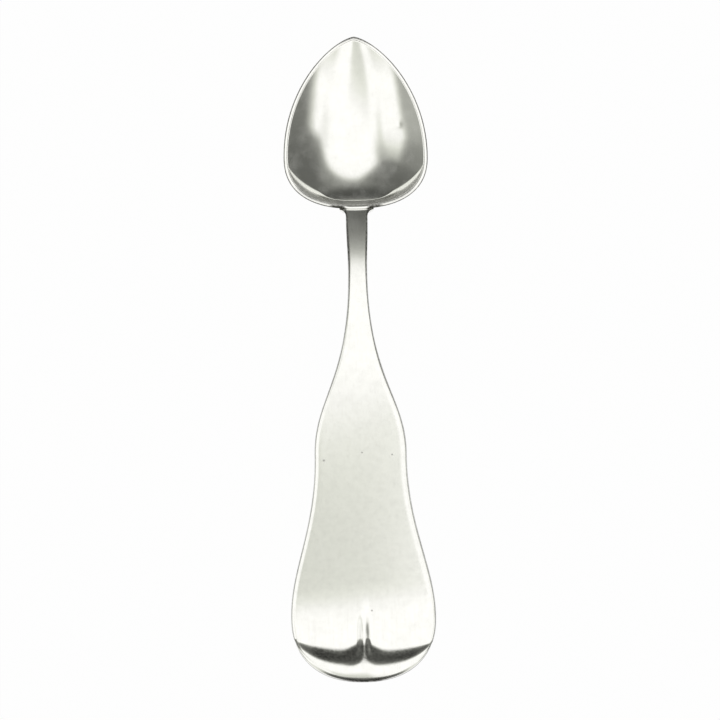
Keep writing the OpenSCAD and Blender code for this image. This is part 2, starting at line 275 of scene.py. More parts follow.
@dataclass(frozen=True)
class HandleForm:
    """The strip that the handle is forged to.

    A place on it is (x, d): x off the middle line, and d along it from the bowl's heel, with the
    tongue under the bowl at d < 0 and the stem and blade at d > 0.
    """

    bowl: BowlForm
    length: float
    end_width: float
    arch_height: float
    root_width: float = mm(7)
    root_fillet: float = mm(2)
    stem_width: float = mm(6.1)
    stem_from_heel: float = mm(20)
    shoulder_width: float = mm(29.8)
    shoulder_from_heel: float = mm(80)
    end_lobe: float = mm(21)
    end_curve: float = 2.3
    flare_reach: tuple = (0.6, 0.68)
    blade_reach: tuple = (0.45, 0.7)
    root_thickness: float = mm(3.2)
    stem_thickness: float = mm(2.6)
    blade_thickness: float = mm(1.5)
    edge_radius: float = mm(0.4)
    edge_roll_width: float = mm(2.4)
    edge_roll: float = mm(0.55)
    edge_roll_share: float = 0.35
    edge_roll_end: float = 1 / 3
    root_start: float = math.radians(10)
    root_ease: float = mm(0.5)
    root_slope: float = math.radians(30)
    arch_from_heel: float = mm(40)
    blade_slope: float = math.radians(18.5)
    levelling_length: float = mm(14)
    rest_from_end: float = mm(18.5)
    blade_crown: float = mm(200)
    blade_lean: float = 0.12
    tip_length: float = mm(13.9)
    tip_sag: float = mm(1)
    tip_skew: float = 0.035
    tip_ease: float = 1.15
    tip_early: float = 0.22
    tip_early_width: float = mm(4.5)
    tip_lift: float = mm(2.6)
    tip_swell: float = mm(2.1)
    tip_point: float = mm(1.5)
    tip_point_width: float = mm(4.4)
    midrib_length: float = mm(28)
    midrib_width: float = mm(5)
    midrib_height: float = mm(0.9)
    midrib_from_end: float = mm(4)
    midrib_crest: float = 0.6
    drop_length: float = mm(12)
    drop_thickness: float = mm(0.8)
    drop_curve: float = 2
    root_blend: float = mm(9)
    solder_gap: float = mm(0.2)
    probe_across: float = mm(0.5)
    probe_along: float = 1.5
    outline_samples: int = 400
    outline_probe: float = mm(0.2)

    @classmethod
    def from_node(cls, node: str, bowl: BowlForm) -> "HandleForm":
        """The form that starts at the bowl's heel and fills a CAD node's box."""
        low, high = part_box(node)
        return cls(bowl, length=bowl.heel_y - low.y, end_width=high.x - low.x, arch_height=high.z)

    @property
    def lobe_from_heel(self) -> float:
        """Distance from the heel to the widest line of the rounded end."""
        return self.length - self.end_lobe

    @property
    def tongue_half(self) -> float:
        """Half of the tongue's width at the heel."""
        return self.root_width / 2 + self.root_fillet

    @property
    def rest_from_heel(self) -> float:
        """Distance from the heel to where the blade comes to lie level."""
        return self.length - self.rest_from_end

    @property
    def tip_from_heel(self) -> float:
        """Distance from the heel to the foot of the raised tip."""
        return self.length - self.tip_length

    def path_height(self, d: np.ndarray) -> np.ndarray:
        """Heights of the face along the middle line: up to the arch, down the blade, and level.

        Args:
            d: Distances along the middle line.

        Returns:
            The heights.
        """
        leave, rise, fall = (math.tan(a) for a in (self.root_start, self.root_slope, -self.blade_slope))
        knots = [
            (0, self.bowl.heel_height, leave),
            (self.root_ease, self.bowl.heel_height + self.root_ease * (leave + rise) / 2, rise),
            (self.arch_from_heel, self.arch_height, 0),
            (self.rest_from_heel - self.levelling_length,
             self.blade_thickness - fall * self.levelling_length / 2, fall),
            (self.rest_from_heel, self.blade_thickness, 0),
        ]
        height = np.full_like(d, self.blade_thickness)
        for start, end in reversed(list(zip(knots, knots[1:]))):
            height = np.where(d < end[0], hermite(d, start, end), height)
        return height

    def end_reach(self, x: np.ndarray) -> np.ndarray:
        """Distances along the middle line at which the outline of the rounded end stands."""
        return self.lobe_from_heel + self.end_lobe * self.arc(2 * np.abs(x) / self.end_width, self.end_curve)

    def tip_place(self, x: np.ndarray, d: np.ndarray) -> tuple:
        """Places on the raised tip.

        Args:
            x: Distances off the middle line.
            d: Distances along it.

        Returns:
            The tip's heights at x, as shares of that on the middle line, and shares of the way from
            its foot to the end.
        """
        reach = self.end_reach(x)
        foot = self.tip_from_heel + self.tip_sag * (1 - (2 * x / self.end_width) ** 2) + self.tip_skew * x
        foot = foot - self.tip_point * np.exp(-((x / self.tip_point_width) ** 2))
        length = np.maximum(reach - foot, MERGE_DISTANCE)
        ease = self.tip_ease - self.tip_early * np.exp(-((x / self.tip_early_width) ** 2))
        return length / self.tip_length, np.clip((d - foot) / length, 0, 1) ** ease

    def upturn(self, x: np.ndarray, d: np.ndarray) -> np.ndarray:
        """Heights by which the end of the strip is turned up off the table."""
        scale, share = self.tip_place(x, d)
        return self.tip_lift * scale * smooth(share)

    def swell(self, x: np.ndarray, d: np.ndarray) -> np.ndarray:
        """Extra thickness of the raised tip, which falls off again to the edge."""
        scale, share = self.tip_place(x, d)
        return self.tip_swell * scale * share**2 * (1 - share) / SWELL_PEAK

    def half_width(self, d: np.ndarray) -> np.ndarray:
        """Half widths of the outline between the heel and the lobe.

        Args:
            d: Distances along the middle line.

        Returns:
            The half widths.
        """
        stem_end = (self.stem_width, self.stem_from_heel)
        shoulder = (self.shoulder_width, self.shoulder_from_heel)
        lobe = (self.end_width, self.lobe_from_heel)
        stem = mix(self.root_width, self.stem_width, ramp(d, self.root_fillet, self.stem_from_heel)) / 2
        rise = np.clip(1 - d / self.root_fillet, 0, 1)
        fillet = self.root_width / 2 + self.root_fillet * (1 - np.sqrt(1 - rise * rise))
        t = np.linspace(0, 1, self.outline_samples)
        flare = bezier(self.outline_curve(stem_end, shoulder, *self.flare_reach), t)
        blade = bezier(self.outline_curve(shoulder, lobe, *self.blade_reach), t)
        beyond = np.concatenate([flare, blade[1:]])
        wide = np.interp(d, beyond[:, 1], beyond[:, 0])
        return np.where(d < self.root_fillet, fillet, np.where(d < self.stem_from_heel, stem, wide))

    @staticmethod
    def outline_curve(start: tuple, end: tuple, leave: float, arrive: float) -> np.ndarray:
        """A Bezier curve of the outline.

        Args:
            start: Width and place at its start, where it runs along the middle line.
            end: Width and place at its end, in the same way.
            leave: Share of the way at which the start's handle stands.
            arrive: Share of the way at which the end's handle stands.

        Returns:
            The four points, as half width and place.
        """
        (w0, d0), (w1, d1) = start, end
        return np.array([
            [w0 / 2, d0],
            [w0 / 2, mix(d0, d1, leave)],
            [w1 / 2, mix(d0, d1, arrive)],
            [w1 / 2, d1],
        ])

    def blank(self, s: np.ndarray, station: np.ndarray, inset: np.ndarray) -> tuple:
        """Places of the flat blank before it is forged.

        Args:
            s: Shares of the half width, from -1 at the left edge to 1 at the right one.
            station: Rows of the blank, as distances along it. Rows curve within both round ends.
            inset: Distances in from the outline.

        Returns:
            x and d of each place.
        """
        tongue = self.round_end(s, -station / self.drop_length, self.tongue_half - inset,
                                self.drop_length - inset, self.drop_curve)
        end = self.round_end(s, (station - self.lobe_from_heel) / self.end_lobe, self.end_width / 2 - inset,
                             self.end_lobe - inset, self.end_curve)
        x = s * (self.half_width(np.clip(station, 0, self.lobe_from_heel)) - inset)
        under, beyond = station < 0, station > self.lobe_from_heel
        x = np.where(under, tongue[0], np.where(beyond, end[0], x))
        d = np.where(under, -tongue[1], np.where(beyond, self.lobe_from_heel + end[1], station))
        return x, d

    @staticmethod
    def round_end(s: np.ndarray, q: np.ndarray, half: np.ndarray, reach: np.ndarray, curve: float) -> tuple:
        """Spreads a square's grid over a rounded end.

        Args:
            s: Shares of the half width, from -1 to 1.
            q: Shares of the reach.
            half: Half of the end's width.
            reach: How far the end stands out.
            curve: Its squareness: 2 for an ellipse, and more for a squarer end.

        Returns:
            Distances off the middle line, and distances along it from the end's widest line.
        """
        q = np.clip(q, 0, 1)
        x = s * half * (1 - q**curve / 2) ** (1 / curve)
        return x, q * reach * (1 - np.abs(s) ** curve / 2) ** (1 / curve)

    def edge_distance(self, x: np.ndarray, d: np.ndarray) -> tuple:
        """How far the outline is.

        Args:
            x: Distances off the middle line.
            d: Distances along it.

        Returns:
            Distances across to the outline, and the share of each that is square to it.
        """
        probe = self.outline_probe
        width, before, after = (self.outline_at(d + step) for step in (0, -probe, probe))
        lean = (after - before) / (2 * probe)
        return width - np.abs(x), 1 / np.sqrt(1 + lean * lean)

    def outline_at(self, d: np.ndarray) -> np.ndarray:
        """Half widths of the whole outline, with both round ends.

        Args:
            d: Distances along the middle line.

        Returns:
            The half widths.
        """
        tongue = self.tongue_half * self.arc(-d / self.drop_length, self.drop_curve)
        end = self.end_width / 2 * self.arc((d - self.lobe_from_heel) / self.end_lobe, self.end_curve)
        straight = self.half_width(np.clip(d, 0, self.lobe_from_heel))
        return np.where(d < 0, tongue, np.where(d > self.lobe_from_heel, end, straight))

    @staticmethod
    def arc(q: np.ndarray, curve: float) -> np.ndarray:
        """Height of a rounded end's outline at the share q of its reach."""
        return (1 - np.clip(q, 0, 1) ** curve) ** (1 / curve)

    def face(self, x: np.ndarray, d: np.ndarray) -> np.ndarray:
        """The face without its rib and rolled edges.

        Args:
            x: Distances off the middle line.
            d: Distances along it.

        Returns:
            The points, as rows.
        """
        zero = np.zeros_like(d)
        root = self.bowl.seat(zero, zero, self.solder_gap + zero)
        near = self.bowl.seat(zero, np.minimum(np.abs(x), self.tongue_half), self.solder_gap + zero)
        fade = 1 - smooth(d / self.stem_from_heel)
        y = mix(self.bowl.heel_y, near[:, 1], fade) - d
        lean = self.blade_lean * x * ramp(d, self.arch_from_heel, 2 * self.arch_from_heel)
        z = self.path_height(d + x * x / (2 * self.blade_crown) + lean) + self.upturn(x, d)
        beyond = np.stack([x, y, z - fade * (self.bowl.heel_height - root[:, 2])], axis=1)
        under = self.bowl.seat(np.clip(d, -self.drop_length, 0), x, self.solder_gap + zero)
        return np.where((d < 0)[:, None], under, beyond)

    def normal(self, x: np.ndarray, d: np.ndarray) -> np.ndarray:
        """Directions out of the face, from steps long enough to carry the thickness round a bend.

        Args:
            x: Distances off the middle line.
            d: Distances along it.

        Returns:
            The directions, as rows.
        """
        step = self.probe_along * self.thickness(d)
        across = self.face(x + self.probe_across, d) - self.face(x - self.probe_across, d)
        return unit(np.cross(across, self.face(x, d - step) - self.face(x, d + step)))

    def thickness(self, d: np.ndarray) -> np.ndarray:
        """Thickness of the strip on its middle line.

        Args:
            d: Distances along the middle line.

        Returns:
            The thicknesses.
        """
        tongue = mix(self.root_thickness, self.drop_thickness, smooth(-d / self.drop_length))
        stem = mix(self.root_thickness, self.stem_thickness, smooth(d / self.stem_from_heel))
        flare = ramp(d, self.stem_from_heel, self.shoulder_from_heel)
        blade = mix(self.stem_thickness, self.blade_thickness, flare)
        return np.where(d < 0, tongue, np.where(d < self.stem_from_heel, stem, blade))

    def local_thickness(self, x: np.ndarray, d: np.ndarray) -> np.ndarray:
        """Thickness at any place: the tongue's back is crowned, and its edges thin out.

        Args:
            x: Distances off the middle line.
            d: Distances along it.

        Returns:
            The thicknesses.
        """
        full = self.thickness(d)
        crown = 1 - smooth(d / self.root_blend)
        share = np.clip(np.abs(x) / np.maximum(self.outline_at(d), MERGE_DISTANCE), 0, 1)
        return mix(full, np.minimum(self.drop_thickness, full), crown * share * share)

    def midrib(self, x: np.ndarray, d: np.ndarray) -> np.ndarray:
        """Height of the rib, which swells up to its crest and dies out before the end.

        Args:
            x: Distances off the middle line.
            d: Distances along it.

        Returns:
            The heights above the face.
        """
        along = (d - (self.length - self.midrib_from_end - self.midrib_length)) / self.midrib_length
        swell = smooth(along / self.midrib_crest) ** 2 * ramp(along, 1, self.midrib_crest)
        across = np.minimum(1, 2 * np.abs(x) / self.midrib_width)
        return self.midrib_height * swell * (1 + np.cos(np.pi * across)) / 2

    def roll(self, x: np.ndarray, d: np.ndarray) -> np.ndarray:
        """Depth to which the face rolls off along its long edges.

        Args:
            x: Distances off the middle line.
            d: Distances along it.

        Returns:
            The depths below the face.
        """
        distance, across = self.edge_distance(x, d)
        width = np.clip(self.edge_roll_share * self.outline_at(d), MERGE_DISTANCE, self.edge_roll_width)
        share = np.clip(1 - distance / width, 0, 1)
        end = self.tip_from_heel + self.edge_roll_end * self.tip_length
        fade = smooth(d / self.root_blend) * ramp(d, end, self.tip_from_heel)
        return self.edge_roll * width / self.edge_roll_width * across * fade * share**3

    def forge(self, x: np.ndarray, d: np.ndarray, sheet: Sheet, ease: np.ndarray) -> np.ndarray:
        """Places of the forged strip.

        Args:
            x: Distances off the middle line.
            d: Distances along it.
            sheet: The skin that the places lie on.
            ease: Depths below that skin, as along a rounded edge.

        Returns:
            The points, as rows.
        """
        if sheet is Sheet.FACE:
            lift = self.midrib(x, d) + self.swell(x, d) - self.roll(x, d) - ease
        else:
            lift = ease - self.local_thickness(x, d)
        return self.face(x, d) + lift[:, None] * self.normal(x, d)


@dataclass(frozen=True)
class Mark:
    """A small mark in the metal, at a place seen from above: a pit or a dent."""

    x: float
    y: float
    radius: float
    depth: float = 0

    def mask(self, points: np.ndarray) -> np.ndarray:
        """1 at the middle of the mark, and soft down to 0 beyond it."""
        square = (points[:, 0] - self.x) ** 2 + (points[:, 1] - self.y) ** 2
        return np.exp(-square / self.radius**2)


class Bench:
    """Steps that every piece shares, done on the object that is active."""

    @staticmethod
    def clear() -> None:
        """Deselects everything, so that the next step touches its own piece alone."""
        bpy.ops.object.select_all(action="DESELECT")

    @classmethod
    def grid(cls, across: int, along: int) -> tuple:
        """Adds a flat sheet.

        Args:
            across: How many faces it has across.
            along: How many faces it has along.

        Returns:
            The sheet, and the column and the row of each vertex.
        """
        cls.clear()
        bpy.ops.mesh.primitive_grid_add(x_subdivisions=across, y_subdivisions=along, size=2)
        sheet = bpy.context.active_object
        places = cls.places(sheet)
        column, row = (np.rint((places[:, axis] + 1) / 2 * count).astype(int)
                       for axis, count in enumerate((across, along)))
        return sheet, column, row

    @staticmethod
    def border(columns: np.ndarray, rows: np.ndarray) -> np.ndarray:
        """The edge of a sheet as one closed walk, which starts up its right side.

        Args:
            columns: Shares of the half width at which the sheet's columns stand.
            rows: Distances at which its rows stand.

        Returns:
            The shares and the distances along the walk.
        """
        right = [(1, row) for row in rows]
        far = [(share, rows[-1]) for share in columns[-2::-1]]
        left = [(-1, row) for row in rows[-2::-1]]
        near = [(share, rows[0]) for share in columns[1:]]
        return np.array(right + far + left + near).T

    @staticmethod
    def places(obj: bpy.types.Object) -> np.ndarray:
        """Where the vertices of an object are.

        Args:
            obj: The object.

        Returns:
            The places, as rows.
        """
        flat = np.empty(3 * len(obj.data.vertices), np.float32)
        obj.data.vertices.foreach_get("co", flat)
        return flat.reshape(-1, 3).astype(float)

    @staticmethod
    def press(obj: bpy.types.Object, points: np.ndarray) -> None:
        """Moves each vertex of a blank to its place on the form."""
        obj.data.vertices.foreach_set("co", points.astype(np.float32).ravel())
        obj.data.update()

    @staticmethod
    def store_mask(obj: bpy.types.Object, name: str, shares: np.ndarray) -> None:
        """Keeps on each vertex a share: how far the metal is painted darker as shade, or how matte it is."""
        layer = obj.data.attributes.new(name, "FLOAT", "POINT")
        layer.data.foreach_set("value", shares.astype(np.float32))

    @classmethod
    def weld(cls, name: str, parts: list) -> bpy.types.Object:
        """Joins the sheets of one piece along their shared edges into a closed, smooth skin.

        Args:
            name: The piece's name.
            parts: Its sheets.

        Returns:
            The piece.
        """
        cls.clear()
        for part in parts:
            part.select_set(True)
        bpy.context.view_layer.objects.active = parts[0]
        if len(parts) > 1:
            bpy.ops.object.join()
        piece = bpy.context.active_object
        bpy.ops.object.mode_set(mode="EDIT")
        bpy.ops.mesh.select_all(action="SELECT")
        bpy.ops.mesh.remove_doubles(threshold=MERGE_DISTANCE)
        bpy.ops.mesh.normals_make_consistent(inside=False)
        bpy.ops.object.mode_set(mode="OBJECT")
        bpy.ops.object.shade_smooth()
        piece.name = name
        piece.data.name = name
        return piece

    @staticmethod
    def hand_over(piece: bpy.types.Object, node: str, slot: str, material: bpy.types.Material) -> None:
        """Dresses a piece, ties it to the body and lets it stand for its CAD node.

        Args:
            piece: The finished piece.
            node: The node that it stands for.
            slot: Not used.
            material: Its finish.
        """
        piece.data.materials.clear()
        piece.data.materials.append(material)
        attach(piece, BODY)
        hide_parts(node)
        LOG.info("%s: %d faces, stands for %s", piece.name, len(piece.data.polygons), node)


@dataclass
class Bowl:
    """The sunk bowl: one sheet of rings, from the pole below over the rim to the pole inside.

    A pair of numbers says where a change starts and where it is complete, or between which two values
    something changes: from the rim to the inside, or from the middle line to the sides.
    """

    form: BowlForm
    sides: int = 256
    floor_rings: int = 56
    band_rings: int = 36
    band_from: float = 0.82
    rim_steps: int = 6
    rim_ease: float = mm(0.5)
    lip_ease: float = mm(0.3)
    rim_from: float = 0.99
    rim_to_lip: tuple = (mm(0.6), mm(1.1))
    joint_half: float = mm(3.6)
    joint_dip: float = mm(0.35)
    seat_fade: float = mm(1.2)
    seat_flatness: float = 0.9
    # Painted shade: a dark outline along the rim's outer edge, in place of the shaded table that the edge
    # would reflect.
    outline_shade: float = 0.8
    edge_wear: tuple = (0.35, 0.95)
    outline_fade: float = 0.5
    tip_turn: tuple = (0.9, 1)
    # Painted shade: dark corners on the rim beside the joint with the handle, where shade falls between the
    # parts.
    joint_shade: tuple = (1.15, 0.5)
    joint_reach: tuple = (mm(3.8), mm(2.4))
    joint_start: float = mm(0.6)
    joint_fade: float = mm(1.8)
    joint_depth: tuple = (0.97, 0.92)
    joint_depth_fade: float = 0.03
    # Darker on the rim towards the heel.
    heel_rim_dark: float = 0.5
    heel_turn: tuple = (0.45, 0.7)
    # Painted reflection: the band under the heel is painted grey in place of the reflected inside of the
    # bowl.
    band_shade: float = 0.4
    matte_start: tuple = (0.1, 0.45)
    matte_turn: tuple = (0.2, 0.55)
    matte_soft: float = 0.25
    matte_fade: float = 0.3
    dent: Mark = Mark(mm(14.2), mm(76.2), mm(1), mm(0.13))

    def shares(self) -> np.ndarray:
        """Rings of one sheet, as shares of the way from the deepest point to the rim."""
        floor = np.linspace(0, self.band_from, self.floor_rings + 1)[1:]
        return np.concatenate([floor, np.linspace(self.band_from, 1, self.band_rings + 1)[1:]])

    def profile(self) -> np.ndarray:
        """Every ring of the blank in turn.

        Returns:
            Rows of share, inset, drop below the rim and height of the deepest point.
        """
        form = self.form
        shares = self.shares()
        outer = [(u, 0, 0, 0) for u in shares[:-1]]
        inner = [(u, form.rim_width, 0, form.wall) for u in shares[-2::-1]]
        turn = np.linspace(0, np.pi / 2, self.rim_steps + 1)
        over = [(1, self.rim_ease * (1 - math.cos(a)), self.rim_ease * (1 - math.sin(a)), 0)
                for a in turn]
        down = [(1, form.rim_width - self.lip_ease * (1 - math.cos(a)),
                 self.lip_ease * (1 - math.sin(a)), form.wall) for a in turn[::-1]]
        return np.array(outer + over + down + inner)

    def blank(self, rings: int) -> bpy.types.Object:
        """A flat disc of concentric rings, each one further out, with its outermost ring closed up.

        Args:
            rings: How many rings the disc has.

        Returns:
            The disc. Its first pole is at its centre, and its last one stands above that.
        """
        Bench.clear()
        bpy.ops.mesh.primitive_circle_add(vertices=self.sides, radius=1, fill_type="TRIFAN")
        disc = bpy.context.active_object
        bpy.ops.object.mode_set(mode="EDIT")
        bpy.ops.mesh.select_mode(type="EDGE")
        bpy.ops.mesh.select_all(action="DESELECT")
        bpy.ops.mesh.select_non_manifold()
        for ring in range(2, rings + 2):
            bpy.ops.mesh.extrude_region_move()
            growth = ring / (ring - 1)
            bpy.ops.transform.resize(value=(growth, growth, 1), center_override=(0, 0, 0))
        bpy.ops.mesh.select_mode(type="VERT")
        bpy.ops.mesh.merge(type="CENTER")
        bpy.ops.transform.translate(value=(0, 0, 1))
        bpy.ops.object.mode_set(mode="OBJECT")
        return disc

    def build(self) -> bpy.types.Object:
        """Presses the bowl from its blank.

        Returns:
            The bowl.
        """
        profile = self.profile()
        disc = self.blank(len(profile))
        places = Bench.places(disc)
        radius = np.hypot(places[:, 0], places[:, 1])
        angle = np.arctan2(places[:, 1], places[:, 0])
        c, s = np.cos(angle), np.sin(angle)
        pole = radius < 0.5
        ring = np.clip(np.rint(radius).astype(int) - 1, 0, len(profile) - 1)
        u, inset, drop, bottom = profile[ring].T
        u = np.where(pole, 0, u)
        inner = pole & (places[:, 2] > 0.5)
        inset = np.where(inner, self.form.rim_width, inset)
        bottom = np.where(inner, self.form.wall, bottom)
        points = self.form.surface(u, c, s, inset, bottom)
        hollow, eased = bottom > 0, inset < self.rim_ease
        seat = self.seat(points, s)
        sunk = self.dent.depth * self.dent.mask(points) + self.joint_dip * seat * self.lip(u, inset)
        points[:, 2] -= np.where(eased, drop * (1 - self.seat_flatness * seat), drop)
        points[:, 2] -= np.where(hollow, sunk, 0)
        Bench.press(disc, points)
        matte = np.where(hollow, self.matte(u, c, s), 0)
        # Painted shade on the rim and by the joint, plus the painted grey of the heel band; cleared where
        # the rim lies against the handle.
        shade_marks = np.maximum(self.painted_shade(points, u, s, inset), self.band_shade * matte)
        Bench.store_mask(disc, PAINTED_SHADE, shade_marks * (1 - seat * (u > self.rim_from) * eased))
        Bench.store_mask(disc, MATTE, matte)
        return Bench.weld("spoon_bowl", [disc])

    def seat(self, points: np.ndarray, s: np.ndarray) -> np.ndarray:
        """1 where the rim lies against the handle's root, and soft down to 0 beside it."""
        off = np.abs(points[:, 0]) - self.joint_half
        return (s < 0) * ramp(off, self.seat_fade / 2, -self.seat_fade / 2)

    def lip(self, u: np.ndarray, inset: np.ndarray) -> np.ndarray:
        """1 at the rim's inner corner, and soft down to 0 over the rim and into the bowl."""
        width = self.form.rim_width
        return ramp(inset, width / 3, width) * (1 - smooth((1 - u) * self.form.deepest / width))

    def painted_shade(self, points: np.ndarray, u: np.ndarray, s: np.ndarray, inset: np.ndarray) -> np.ndarray:
        """Painted shade: a dark outline along the rim's outer edge and dark corners by the joint; the rim is
        also darker at the heel.

        Args:
            points: The places, as rows.
            u: Their shares of the way from the deepest point to the rim.
            s: Sines of their directions round the bowl.
            inset: Their distances in from the outline.

        Returns:
            The shares, 0 where the silver is bright.
        """
        rim, eased = u > self.rim_from, inset < self.rim_ease
        wide = mix(*self.edge_wear, ramp(s, *self.tip_turn))
        edge = eased * ramp(inset / self.rim_ease, wide + self.outline_fade, wide)
        inner = ramp(inset, *self.rim_to_lip)
        off = np.abs(points[:, 0]) - self.joint_half
        reach = mix(*self.joint_reach, inner)
        across = smooth(off / self.joint_start) * ramp(off, reach + self.joint_fade, reach)
        depth = smooth((u - mix(*self.joint_depth, inner)) / self.joint_depth_fade)
        joint = mix(*self.joint_shade, inner) * (s < 0) * across * depth
        heel = self.heel_rim_dark * rim * (inset > self.rim_ease) * ramp(-s, *self.heel_turn)
        return np.maximum(np.maximum(self.outline_shade * edge * rim, joint), heel)

    def matte(self, u: np.ndarray, c: np.ndarray, s: np.ndarray) -> np.ndarray:
        """How far the band under the heel has been left unpolished.

        Args:
            u: Shares of the way from the deepest point to the rim.
            c: Cosines of the directions round the bowl.
            s: Sines of those directions.

        Returns:
            The shares, from 0 to 1.
        """
        share = self.form.band_place(u, s)[2]
        start = mix(*self.matte_start, ramp(np.abs(c), *self.matte_turn))
        return smooth((share - start) / self.matte_soft) * smooth(-s / self.matte_fade) * (u < 1)


@dataclass
class Handle:
    """The forged handle: a face, a back and a rounded edge round them, all cut from one outline.

    A pair of numbers says where a painted shade starts and where it is full.
    """

    form: HandleForm
    half_columns: int = 40
    rib_columns: int = 14
    rib_share: float = 0.15
    edge_steps: int = 5
    tongue_rows: int = 24
    fillet_rows: int = 10
    stem_rows: int = 40
    flare_rows: int = 80
    blade_rows: int = 64
    end_rows: int = 84
    edge_most: float = 0.45
    # Painted shade: a dark outline over the rounded edge.
    outline_shade: float = 0.7
    edge_turn: tuple = (18, 48)
    joint_start: tuple = (mm(-1.5), mm(-0.5))
    # Painted shade: dark corners beside the root and dark sides down the stem.
    corner_shade: float = 0.95
    corner_across: tuple = (mm(2.9), mm(3.8))
    corner_along: tuple = (mm(8), mm(2))
    side_shade: float = 0.9
    side_inset: tuple = (mm(0.6), mm(0.3))
    side_along: tuple = (mm(35), mm(10))
    # Painted shade: a dark end edge, for the reflected shadow under the end, and a faint grey just inside
    # it.
    end_shade: float = 0.92
    end_inset: tuple = (mm(1.3), mm(0.6))
    end_grey: float = 0.2
    end_grey_inset: tuple = (mm(2.4), 0)
    end_across: tuple = (mm(10.5), mm(3.5))
    # Painted reflection: a dark band over the foot of the raised tip, where its bend would reflect the dark
    # walls.
    foot_shade: float = 0.68
    foot_start: tuple = (0.12, 0.24)
    foot_stop: tuple = (0.65, 0.5)
    foot_across: tuple = (mm(20), mm(15))

    def columns(self) -> np.ndarray:
        """Where the blank's columns stand, closer together over the rib.

        Returns:
            Shares of the half width, from edge to edge.
        """
        rib = np.linspace(0, self.rib_share, self.rib_columns + 1)
        wide = np.linspace(self.rib_share, 1, self.half_columns - self.rib_columns + 1)[1:]
        half = np.concatenate([rib, wide])
        return np.concatenate([-half[:0:-1], half])

    def stations(self) -> np.ndarray:
        """Where the blank's rows stand, closer together at the fillet.

        Returns:
            Distances along the blank, from the tongue's end to the handle's.
        """
        form = self.form
        turn = np.linspace(0, np.pi / 2, self.fillet_rows + 1)
        runs = [
            np.linspace(-form.drop_length, 0, self.tongue_rows + 1),
            form.root_fillet * (1 - np.cos(turn)),
            np.linspace(form.root_fillet, form.stem_from_heel, self.stem_rows + 1),
            np.linspace(form.stem_from_heel, form.shoulder_from_heel, self.flare_rows + 1),
            np.linspace(form.shoulder_from_heel, form.lobe_from_heel, self.blade_rows + 1),
            np.linspace(form.lobe_from_heel, form.length, self.end_rows + 1),
        ]
        return np.concatenate([runs[0]] + [run[1:] for run in runs[1:]])

    def sheet(self, side: Sheet) -> bpy.types.Object:
        """Presses the face or the back, up to where its edge is rounded.

        Args:
            side: Which of the two it is.

        Returns:
            The sheet.
        """
        columns, rows = self.columns(), self.stations()
        grid, column, row = Bench.grid(len(columns) - 1, len(rows) - 1)
        x, d = self.form.blank(columns[column], rows[row], self.form.edge_radius)
        Bench.press(grid, self.form.forge(x, d, side, np.zeros_like(x)))
        # Painted shade, on the face alone.
        Bench.store_mask(grid, PAINTED_SHADE, self.painted_shade(x, d) * (side is Sheet.FACE))
        return grid

    def painted_shade(self, x: np.ndarray, d: np.ndarray) -> np.ndarray:
        """Painted shade: dark corners at the joint, dark sides down the stem, a dark end edge and a dark
        band round the raised tip.

        Args:
            x: Distances off the middle line.
            d: Distances along it.

        Returns:
            The shares, from 0 to 1.
        """
        off = np.abs(x)
        corner = self.corner_shade * ramp(off, *self.corner_across) * ramp(d, *self.corner_along)
        inset = self.form.outline_at(d) - off
        side = self.side_shade * ramp(inset, *self.side_inset) * ramp(d, *self.side_along)
        joint = np.maximum(corner, side) * ramp(d, *self.joint_start)
        inset = self.form.end_reach(x) - d
        worn = self.end_shade * ramp(inset, *self.end_inset)
        worn = np.maximum(worn, self.end_grey * ramp(inset, *self.end_grey_inset))
        worn = worn * ramp(off, *self.end_across)
        share = self.form.tip_place(x, d)[1]
        foot = self.foot_shade * ramp(share, *self.foot_start) * ramp(share, *self.foot_stop)
        return np.maximum(np.maximum(joint, worn), foot * ramp(off, *self.foot_across))

    def edge(self) -> bpy.types.Object:
        """Presses the band round the outline: over the face's rounded edge, down the wall and under.

        Returns:
            The band.
        """
        s, station = Bench.border(self.columns(), self.stations())
        turn = np.linspace(0, np.pi / 2, self.edge_steps + 1)
        last = 2 * self.edge_steps + 1
        band, walk, step = Bench.grid(len(s) - 1, last)
        upper = step <= self.edge_steps
        angle = turn[np.where(upper, step, last - step)]
        radius = self.form.edge_radius
        x, d = self.form.blank(s[walk], station[walk], radius * (1 - np.sin(angle)))
        wall = self.form.local_thickness(x, d) - self.form.roll(x, d)
        ease = np.minimum(radius, self.edge_most * wall) * (1 - np.cos(angle))
        face = self.form.forge(x, d, Sheet.FACE, ease)
        back = self.form.forge(x, d, Sheet.BACK, ease)
        Bench.press(band, np.where(upper[:, None], face, back))
        # Painted shade: a dark outline over the rounded edge, in place of the shade that it would reflect.
        edge = self.outline_shade * ramp(np.degrees(angle), *self.edge_turn)
        edge = np.maximum(edge, self.painted_shade(x, d)) * ramp(d, *self.joint_start)
        Bench.store_mask(band, PAINTED_SHADE, edge * upper)
        return band

    def build(self) -> bpy.types.Object:
        """The handle, welded from its face, its back and its edge."""
        return Bench.weld("spoon_handle", [self.sheet(Sheet.FACE), self.sheet(Sheet.BACK), self.edge()])


